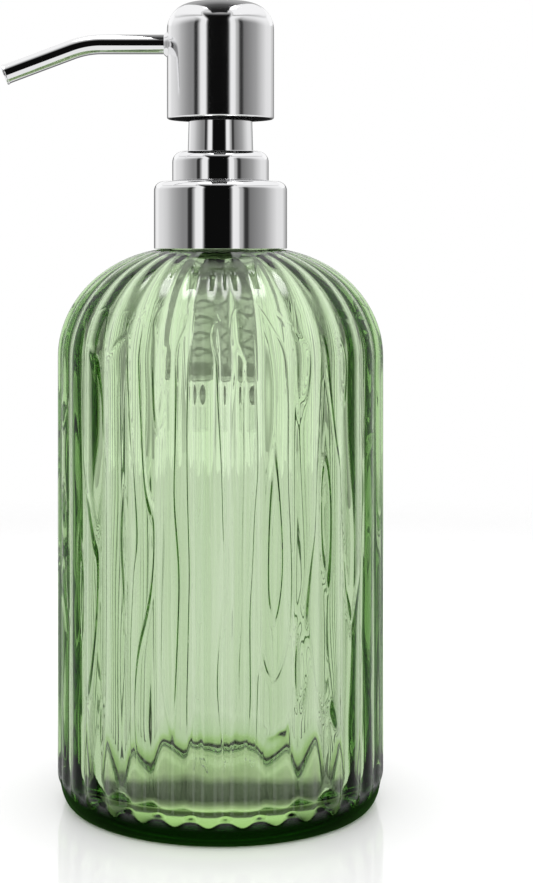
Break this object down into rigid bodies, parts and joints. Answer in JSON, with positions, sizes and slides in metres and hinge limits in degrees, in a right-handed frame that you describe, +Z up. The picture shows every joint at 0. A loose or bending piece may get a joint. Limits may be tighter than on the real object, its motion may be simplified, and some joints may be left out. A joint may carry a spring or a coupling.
{
  "type": "soap pump dispenser",
  "caption": "Ribbed round glass bottle with a screw-on metal-clad lotion pump and a slim bent spout.",
  "frame": {"origin": "centre of the bottle's base, in the plane of its contact ring", "axes": "+Z up along the bottle's axis, the spout points towards -X, +Y towards the back"},
  "size_m": [0.0917, 0.0778, 0.191],
  "materials": {
    "green_glass": "pressed glass, polished, green tinted through",
    "chrome": "mirror polished",
    "steel": "bright drawn stainless",
    "white_plastic": "moulded, satin gloss",
    "natural_plastic": "moulded, translucent natural",
    "clear_tube": "extruded, clear",
    "soft_seal": "soft matt white elastomer"
  },
  "bodies": {
    "bottle": {"glass_bottle": "green_glass"},
    "pump_body": {"neck_gasket": "soft_seal", "pump_housing": "natural_plastic", "dip_tube": "clear_tube", "ball_retainer": "white_plastic", "return_spring": "steel", "chaplet": "white_plastic", "chaplet_shell": "chrome", "guide_sleeve": "chrome", "stem_wiper": "soft_seal"},
    "closure": {"screw_closure": "white_plastic", "collar_shell": "chrome"},
    "plunger": {"piston_pillar": "white_plastic"},
    "piston": {"piston_seal": "soft_seal"},
    "head": {"stem": "white_plastic", "head_core": "white_plastic", "head_shell": "chrome", "spout_seal": "soft_seal", "spout_tube": "chrome"},
    "ball": {"inlet_ball": "steel"}
  },
  "joints": [
    {"name": "pump_rise", "type": "slide", "parent": "bottle", "child": "pump_body", "axis": [0, 0, 1], "range_m": [0, 0.00529]},
    {"name": "closure_unscrew", "type": "hinge", "parent": "pump_body", "child": "closure", "pos_m": [0, 0, 0.14], "axis": [0, 0, 1], "range_deg": [0, 450]},
    {"name": "head_press", "type": "slide", "parent": "pump_body", "child": "plunger", "axis": [0, 0, -1], "range_m": [0, 0.0135], "stiffness_N_per_m": 400, "springref_m": -0.006, "deforming": ["return_spring"]},
    {"name": "head_turn", "type": "hinge", "parent": "plunger", "child": "head", "pos_m": [0, 0, 0.17], "axis": [0, 0, 1], "continuous": true},
    {"name": "piston_lift", "type": "slide", "parent": "plunger", "child": "piston", "axis": [0, 0, 1], "range_m": [0, 0.0008]},
    {"name": "ball_lift", "type": "slide", "parent": "pump_body", "child": "ball", "axis": [0, 0, 1], "range_m": [0, 0.0024]}
  ],
  "couplings": [
    {"joint": "closure_unscrew", "follows": "pump_rise", "rad_per_m": 1484.3}
  ]
}
